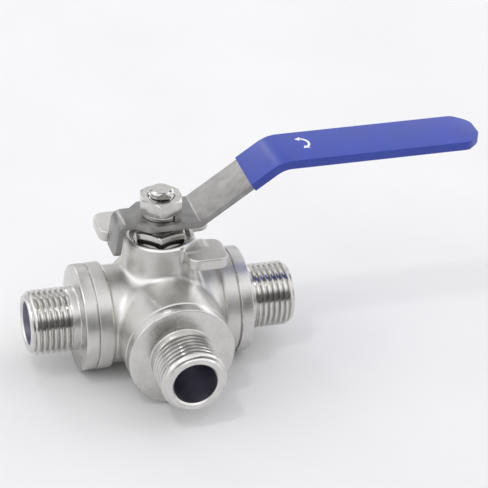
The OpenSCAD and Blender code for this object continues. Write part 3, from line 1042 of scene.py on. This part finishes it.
# %% Dip the grip
SLEEVE_WALL = 0.5
SLEEVE_EDGE = 1.15
MARK_T = 0.03
TIP_ROUND, BLUNT = 2.0, 2.2
BLEND = 2.5
sleeve_tip = span("lever_sleeve", X)[1]
sleeve_x = 27.4
mouth_z = base_mid + (sleeve_x - slope_x) * math.tan(SLOPE)
sleeve_line = bent_line([(sleeve_x, mouth_z), (slope_end_x, grip_mid), (sleeve_tip, grip_mid)],
                         BEND_RADII[2:], 12)
sleeve_breaks = [sleeve_tip - t for t in (10, 8.5, 7.5, 6.8, 6.2, 5.6, 5, 4.2, 3.2, 2, 1.4, 0.9, 0.5, 0.2)]
sleeve_line = with_points_at(sleeve_line, sleeve_breaks)


def sleeve_half(x):
    """Half width near the tip: straight, a slanting cut, and a blunt end, all rounded into one."""
    near_tip = sleeve_tip - x
    full = PLATE_HALF + SLEEVE_WALL
    slant = ramp(near_tip, 0, TIP_TAPER, full - 5.0, full + 0.6)
    blunt = math.sqrt(max(1 - (1 - min(near_tip / TIP_ROUND, 1)) ** 2, 0)) * BLUNT - BLUNT
    return full - math.log1p(math.exp((full - slant) * BLEND - 1)) / BLEND + 0.13 + blunt


sleeve = ribbon("grip_sleeve", [(p.x, p.y, sleeve_half(p.x)) for p in sleeve_line],
                PLATE_T + 2 * SLEEVE_WALL - 2 * MARK_T)
soften(sleeve, SLEEVE_EDGE, 6, 50)
finish_with(sleeve, "WELD", merge_threshold=WELD * MM)
settle(sleeve, 40)
finish_with(sleeve, "BOOLEAN", object=lever, operation="DIFFERENCE", solver="EXACT")
settle(sleeve, 40)
dress(sleeve, "lever_and_stem", "vinyl", vinyl, stands_for=["lever_sleeve"])

# %% [markdown]
# ## The turning mark
#
# A curved arrow in thick white ink says that the lever turns. It is an arc-shaped band with a
# head at both ends, a few hundredths of a millimetre thick, lying on the vinyl.

# %% Print the arrow
HEAD_HALF = 1.5
HEAD_REACH = 2.2
MARK_CENTRE = (45.3, 1.4)


def turning_mark(name, centre, radius, width, start, end, z):
    """A flat band along an arc, with a head at both ends, drawn as one outline and filled."""
    wide, reach = HEAD_HALF * width, math.degrees(HEAD_REACH * width / radius)
    outer = arc((0, 0), radius + width / 2, start, end, 24)
    inner = arc((0, 0), radius - width / 2, end, start, 24)

    def at(r, angle):
        turn = math.radians(angle)
        return (r * math.cos(turn), r * math.sin(turn))

    heads = [[at(radius + wide, end), at(radius, end - reach), at(radius - wide, end)],
             [at(radius - wide, start), at(radius, start + reach), at(radius + wide, start)]]
    outline = outer + heads[0] + inner + heads[1]
    mark = line_through(name, [Vector((x, y, 0)) * MM for x, y in outline])
    edit_all()
    bpy.ops.mesh.edge_face_add()
    bpy.ops.object.mode_set(mode="OBJECT")
    finish_with(mark, "SOLIDIFY", thickness=MARK_T * MM, offset=0)
    mark.location = (centre[0] * MM, centre[1] * MM, (z + MARK_T / 2) * MM)
    return settle(mark, 30)


grip_top = grip_mid + PLATE_T / 2 + SLEEVE_WALL - MARK_T
dress(turning_mark("turning_mark", MARK_CENTRE, 3.1, 0.8, 72, -48, grip_top), "lever_and_stem", "vinyl", ink)

# %% [markdown]
# ## Parts that keep their frame shape
#
# Seats, gaskets, packing and springs sit inside the valve, and their frame shapes are already
# right. Each gets its finish: PTFE for what seals, spring steel and turned steel for the rest.

# %% Finish the inner parts
INNER = {
    ptfe: ["left_seat", "right_seat", "front_seat", "rear_seat", "left_cap_gasket", "right_cap_gasket",
           "front_cap_gasket", "thrust_washer", "packing_bottom_ring", "packing_middle_ring",
           "packing_top_ring"],
    turned_z: ["packing_gland"],
    spring_steel: ["lower_disc_spring", "upper_disc_spring"],
}
for material, names in INNER.items():
    for name in names:
        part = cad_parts[name]
        part.data.materials.clear()
        part.data.materials.append(material)
    print(material.name, "on", len(names), "parts")

# %% [markdown]
# ## Floor, light and camera
#
# The valve stands on a white sheet in a bright room: windows at both sides, a dimmer wall behind
# and a dark one in front, and a few small lamps. Polished steel shows the room it stands in, so
# the dark walls give the threads and nuts their dark lines and the lamps their bright ones.

# %% Floor
low, high = cad_box
FLOOR_SIZE = 6.0
bpy.ops.mesh.primitive_plane_add(size=FLOOR_SIZE, location=(0, 0, low.z))
floor = named("floor")
paper = Graph("white paper")
paper.colours(paper.noise(60, detail=3), (0.785, 0.785, 0.79), (0.815, 0.815, 0.815))
floor.data.materials.append(paper.finish(paper.bump(paper.noise(1.5, detail=2), 0.02), Roughness=0.7))
print("floor at", round(low.z / MM, 2), "mm")

# %% [markdown]
# Each wall has five greys, at even heights from the horizon up to straight overhead, and a ramp
# runs between them. A lamp is a small bright panel that stands a metre away and faces the valve.

# %% Surround and lamps
WORLD_STRENGTH = 3.8
ROOM = {"front": (0.01, 0.04, 0.04, 0.42, 0.20), "back": (0.06, 0.24, 0.26, 0.12, 0.20),
        "side": (0.30, 0.32, 1.0, 0.52, 0.20)}


def make_world():
    """A room whose front, back and side walls blend into one another."""
    world = bpy.data.worlds.new("pale room")
    bpy.context.scene.world = world
    world.use_nodes = True
    tree = world.node_tree

    def node(kind, **inputs):
        made = tree.nodes.new(kind)
        for socket, value in inputs.items():
            if hasattr(value, "is_linked"):
                tree.links.new(value, made.inputs[socket])
            else:
                made.inputs[socket].default_value = value
        return made

    place = tree.nodes.new("ShaderNodeTexCoord").outputs["Generated"]
    split = node("ShaderNodeSeparateXYZ", Vector=place)
    walls = {}
    for wall, greys in ROOM.items():
        ramp_node = node("ShaderNodeValToRGB", Fac=split.outputs["Z"])
        stops = ramp_node.color_ramp.elements
        while len(stops) < len(greys):
            stops.new(0.5)
        for number, (stop, grey) in enumerate(zip(stops, greys)):
            stop.position = number / (len(greys) - 1)
            stop.color = (grey, grey, grey * 1.02, 1)
        walls[wall] = ramp_node.outputs["Color"]
    facing = node("ShaderNodeMapRange", Value=split.outputs["Y"], **{"From Min": -0.25, "From Max": 0.25})
    sideways = tree.nodes.new("ShaderNodeMath")
    sideways.operation = "POWER"
    tree.links.new(split.outputs["X"], sideways.inputs[0])
    sideways.inputs[1].default_value = 4
    ends = node("ShaderNodeMixRGB", Fac=facing.outputs["Result"], Color1=walls["front"], Color2=walls["back"])
    whole = node("ShaderNodeMixRGB", Fac=sideways.outputs["Value"], Color1=ends.outputs["Color"],
                 Color2=walls["side"])
    tree.links.new(whole.outputs["Color"], tree.nodes["Background"].inputs["Color"])
    tree.nodes["Background"].inputs["Strength"].default_value = WORLD_STRENGTH
    return world


def soft_lamp(name, azimuth, elevation, size, power, colour=(1, 1, 1)):
    """A rectangular panel that faces the valve; azimuth 0 is behind it, growing to the right."""
    lamp = bpy.data.lights.new(name, "AREA")
    lamp.shape = "RECTANGLE"
    lamp.size, lamp.size_y = size
    lamp.energy = power
    lamp.color = colour
    holder = bpy.data.objects.new(name, lamp)
    bpy.context.scene.collection.objects.link(holder)
    a, e = math.radians(azimuth), math.radians(elevation)
    way = Vector((math.sin(a) * math.cos(e), math.cos(a) * math.cos(e), math.sin(e)))
    holder.location = way
    holder.rotation_euler = way.to_track_quat("Z", "Y").to_euler()
    return holder


make_world()
soft_lamp("ceiling panel", 55, 62, (0.5, 0.5), 0.45, (1.0, 0.99, 0.97))
soft_lamp("ceiling lamp", -125, 64, (0.06, 0.06), 0.9)
soft_lamp("back window", -13, 33, (0.05, 0.5), 0.7)
soft_lamp("low window", 35, 8, (0.3, 0.3), 0.45)
print("lamps set")

# %% [markdown]
# The camera looks down on the valve from the front left, far enough away that the ports keep
# nearly parallel edges. It leans by a few degrees, as a hand-held one does.

# %% Camera
AZIMUTH, ELEVATION, LEAN = (math.radians(a) for a in (-18.009, 30.834, 2.743))
DISTANCE = 0.8
TARGET = Vector((28.078 * MM, 0, 20.037 * MM))
LENS = 183.87
back = Vector((math.sin(AZIMUTH) * math.cos(ELEVATION), -math.cos(AZIMUTH) * math.cos(ELEVATION),
               math.sin(ELEVATION)))
right = Vector((math.cos(AZIMUTH), math.sin(AZIMUTH), 0))
up = back.cross(right)
axes = (right * math.cos(LEAN) + up * math.sin(LEAN), up * math.cos(LEAN) - right * math.sin(LEAN), back)
camera_data = bpy.data.cameras.new("camera")
camera_data.sensor_width = 36
camera_data.lens = LENS
camera = bpy.data.objects.new("camera", camera_data)
bpy.context.scene.collection.objects.link(camera)
camera.matrix_world = Matrix.Translation(TARGET + back * DISTANCE) @ Matrix(axes).transposed().to_4x4()
bpy.context.scene.camera = camera
bpy.context.scene.view_settings.view_transform = "Standard"
print("camera at", [round(c, 3) for c in camera.location])

# %% [markdown]
# ## Check the size and finish
#
# The looks may not grow the valve. The frame's box and the finished model's box go side by side
# into a file, and the last call checks every piece.

# %% Print the frame's box
print("cad", [[round(c / MM, 2) for c in corner] for corner in cad_box])
